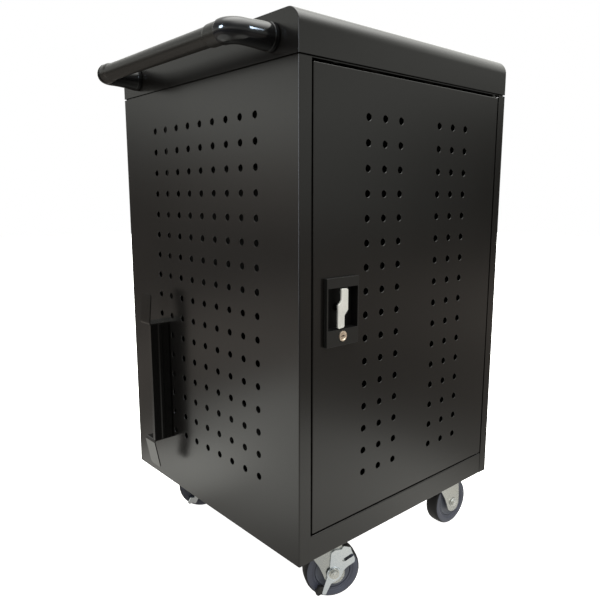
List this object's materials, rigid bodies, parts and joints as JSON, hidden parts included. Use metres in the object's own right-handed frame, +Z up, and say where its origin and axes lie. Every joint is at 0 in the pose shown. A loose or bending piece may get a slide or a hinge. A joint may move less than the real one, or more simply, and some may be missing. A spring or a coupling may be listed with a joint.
{
  "type": "laptop charging cart",
  "caption": "Upright vented steel cabinet on swivel casters with a locking front door, a rear power-bay door, a side push handle, a cord bracket and divider racks for charging laptops.",
  "frame": {"origin": "middle of the box round the whole cart, handle and latch included, on the floor under the wheels", "axes": "+Z up; the front door faces -Y; the push handle is on the -X side"},
  "size_m": [0.7098, 0.6302, 1.0945],
  "materials": {
    "powder_black": "fine textured black powder coat, satin",
    "gloss_black": "glossy moulded black",
    "matte_black": "matt black moulding",
    "grip_black": "matt soft grip sleeve",
    "bracket_black": "black powder coat",
    "zinc": "bright zinc plate",
    "satin_lever": "satin silver casting",
    "key_metal": "satin lock face",
    "tyre_rubber": "dark tread, blue-grey sides",
    "hub_grey": "blue-grey moulded hub",
    "brake_rubber": "black rubber shoe"
  },
  "bodies": {
    "chassis": {"left_side_panel": "powder_black", "right_side_panel": "powder_black", "base_pan": "powder_black", "top_deck": "powder_black", "top_lid": "powder_black", "mid_shelf": "powder_black", "partition_panel": "powder_black", "lower_divider_rack": "matte_black", "upper_divider_rack": "matte_black", "power_strip_left": "matte_black", "power_strip_right": "matte_black", "adapter_tray_lower": "powder_black", "adapter_tray_upper": "powder_black", "cable_grommet": "matte_black", "cord_wrap": "bracket_black", "handle_elbow_front": "gloss_black", "handle_elbow_rear": "gloss_black", "handle_tube": "zinc", "handle_grip": "grip_black", "caster_plate_fl": "zinc", "caster_plate_rl": "zinc", "caster_plate_fr": "zinc", "caster_plate_rr": "zinc"},
    "front_door": {"front_door": "powder_black", "latch_cup": "gloss_black", "front_hinge_pin_upper": "zinc", "front_hinge_pin_lower": "zinc"},
    "latch": {"latch_lever": "satin_lever", "latch_cam": "zinc"},
    "key": {"key_cylinder": "key_metal"},
    "rod_upper": {"lock_rod_upper": "zinc"},
    "rod_lower": {"lock_rod_lower": "zinc"},
    "rear_door": {"rear_door": "powder_black", "rear_hinge_pin_upper": "zinc", "rear_hinge_pin_lower": "zinc"},
    "rear_lock": {"rear_lock": "satin_lever"},
    "switch_left": {"power_switch_left": "gloss_black"},
    "switch_right": {"power_switch_right": "gloss_black"},
    "fork_fl": {"caster_fork_fl": "zinc", "caster_axle_fl": "zinc"},
    "wheel_fl": {"caster_hub_fl": "hub_grey", "caster_tyre_fl": "tyre_rubber"},
    "brake_fl": {"brake_lever_fl": "zinc", "brake_tip_fl": "brake_rubber"},
    "fork_rl": {"caster_fork_rl": "zinc", "caster_axle_rl": "zinc"},
    "wheel_rl": {"caster_hub_rl": "hub_grey", "caster_tyre_rl": "tyre_rubber"},
    "brake_rl": {"brake_lever_rl": "zinc", "brake_tip_rl": "brake_rubber"},
    "fork_fr": {"caster_fork_fr": "zinc", "caster_axle_fr": "zinc"},
    "wheel_fr": {"caster_hub_fr": "hub_grey", "caster_tyre_fr": "tyre_rubber"},
    "fork_rr": {"caster_fork_rr": "zinc", "caster_axle_rr": "zinc"},
    "wheel_rr": {"caster_hub_rr": "hub_grey", "caster_tyre_rr": "tyre_rubber"}
  },
  "joints": [
    {"name": "front_door_swing", "type": "hinge", "parent": "chassis", "child": "front_door", "pos_m": [0.3186, -0.2979, 0.5995], "axis": [0, 0, 1], "range_deg": [0, 105]},
    {"name": "latch_turn", "type": "hinge", "parent": "front_door", "child": "latch", "pos_m": [-0.1579, -0.3059, 0.602], "axis": [0, 1, 0], "range_deg": [0, 91]},
    {"name": "rod_upper_slide", "type": "slide", "parent": "front_door", "child": "rod_upper", "axis": [0, 0, 1], "range_m": [0, 0.014]},
    {"name": "rod_lower_slide", "type": "slide", "parent": "front_door", "child": "rod_lower", "axis": [0, 0, -1], "range_m": [0, 0.0142]},
    {"name": "key_turn", "type": "hinge", "parent": "front_door", "child": "key", "pos_m": [-0.1579, -0.3059, 0.5515], "axis": [0, 1, 0], "range_deg": [0, 90]},
    {"name": "rear_door_swing", "type": "hinge", "parent": "chassis", "child": "rear_door", "pos_m": [0.3186, 0.3021, 0.5995], "axis": [0, 0, -1], "range_deg": [0, 105]},
    {"name": "rear_lock_turn", "type": "hinge", "parent": "rear_door", "child": "rear_lock", "pos_m": [-0.1949, 0.3101, 0.602], "axis": [0, 1, 0], "range_deg": [0, 90]},
    {"name": "switch_left_rock", "type": "hinge", "parent": "chassis", "child": "switch_left", "pos_m": [-0.1719, 0.1619, 0.8945], "axis": [-1, 0, 0], "range_deg": [0, 16]},
    {"name": "switch_right_rock", "type": "hinge", "parent": "chassis", "child": "switch_right", "pos_m": [0.2721, 0.1619, 0.8945], "axis": [-1, 0, 0], "range_deg": [0, 16]},
    {"name": "swivel_fl", "type": "hinge", "parent": "chassis", "child": "fork_fl", "pos_m": [-0.1529, -0.2414, 0.1145], "axis": [0, 0, 1], "continuous": true},
    {"name": "wheel_fl_spin", "type": "hinge", "parent": "fork_fl", "child": "wheel_fl", "pos_m": [-0.12641, -0.25548, 0.05715], "axis": [0.4695, 0.8829, 0], "continuous": true},
    {"name": "brake_fl_press", "type": "hinge", "parent": "fork_fl", "child": "brake_fl", "pos_m": [-0.12641, -0.25548, 0.05715], "axis": [0.4695, 0.8829, 0], "range_deg": [0, 20]},
    {"name": "swivel_rl", "type": "hinge", "parent": "chassis", "child": "fork_rl", "pos_m": [-0.1529, 0.2456, 0.1145], "axis": [0, 0, 1], "continuous": true},
    {"name": "wheel_rl_spin", "type": "hinge", "parent": "fork_rl", "child": "wheel_rl", "pos_m": [-0.12641, 0.23152, 0.05715], "axis": [0.4695, 0.8829, 0], "continuous": true},
    {"name": "brake_rl_press", "type": "hinge", "parent": "fork_rl", "child": "brake_rl", "pos_m": [-0.12641, 0.23152, 0.05715], "axis": [0.4695, 0.8829, 0], "range_deg": [0, 20]},
    {"name": "swivel_fr", "type": "hinge", "parent": "chassis", "child": "fork_fr", "pos_m": [0.2551, -0.2414, 0.1145], "axis": [0, 0, 1], "continuous": true},
    {"name": "wheel_fr_spin", "type": "hinge", "parent": "fork_fr", "child": "wheel_fr", "pos_m": [0.28506, -0.24297, 0.05715], "axis": [0.0523, 0.9986, 0], "continuous": true},
    {"name": "swivel_rr", "type": "hinge", "parent": "chassis", "child": "fork_rr", "pos_m": [0.2551, 0.2456, 0.1145], "axis": [0, 0, 1], "continuous": true},
    {"name": "wheel_rr_spin", "type": "hinge", "parent": "fork_rr", "child": "wheel_rr", "pos_m": [0.28506, 0.24403, 0.05715], "axis": [0.0523, 0.9986, 0], "continuous": true}
  ],
  "couplings": [
    {"joint": "latch_turn", "follows": "rod_upper_slide", "rad_per_m": 112.2},
    {"joint": "rod_lower_slide", "follows": "rod_upper_slide", "ratio": 1}
  ]
}
